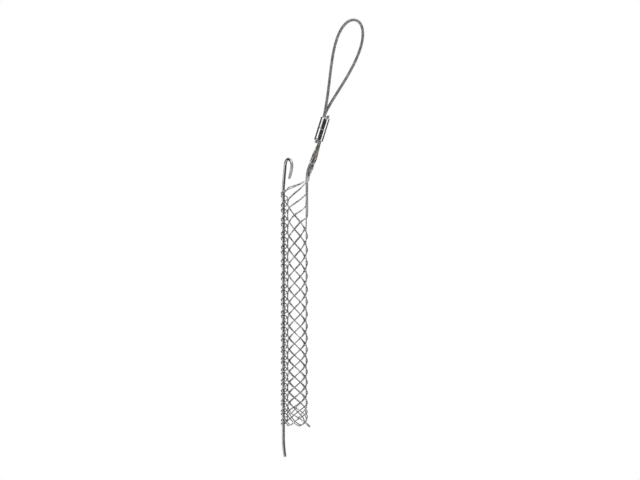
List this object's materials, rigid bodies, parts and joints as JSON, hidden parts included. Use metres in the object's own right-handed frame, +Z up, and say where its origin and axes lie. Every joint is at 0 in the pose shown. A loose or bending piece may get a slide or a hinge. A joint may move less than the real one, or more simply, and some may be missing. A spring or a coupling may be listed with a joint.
{
  "type": "cable pulling grip",
  "caption": "Split wire-mesh pulling grip closed along one side by a laced hooked rod, with an offset wire-rope eye in a crimped sleeve.",
  "frame": {"origin": "where a pulling line bears in the crown of the eye, on the inner side of the rope", "axes": "+Z up along the bore, mouth towards +Z; +X from the closing rod towards the spine and the eye; +Y from the front, where the rod's hook leans out, to the back"},
  "size_m": [0.0905, 0.0262, 0.4739],
  "materials": {
    "galvanised_strand": "galvanised seven-wire strand, satin grey",
    "wire_rope": "galvanised wire rope, satin grey",
    "bright_rod": "bright drawn steel",
    "polished_sleeve": "polished plated steel"
  },
  "bodies": {
    "grip": {"hairpin_strand_1": "galvanised_strand", "hairpin_strand_2": "galvanised_strand", "hairpin_strand_3": "galvanised_strand", "hairpin_strand_4": "galvanised_strand", "hairpin_strand_5": "galvanised_strand", "tail_strand_1": "galvanised_strand", "tail_strand_2": "galvanised_strand", "eye_rope": "wire_rope", "crimp_sleeve": "polished_sleeve"},
    "rod": {"closing_rod": "bright_rod"}
  },
  "joints": [
    {"name": "rod_slide", "type": "slide", "parent": "grip", "child": "rod", "axis": [0, 0, 1], "range_m": [0, 0.3]}
  ]
}
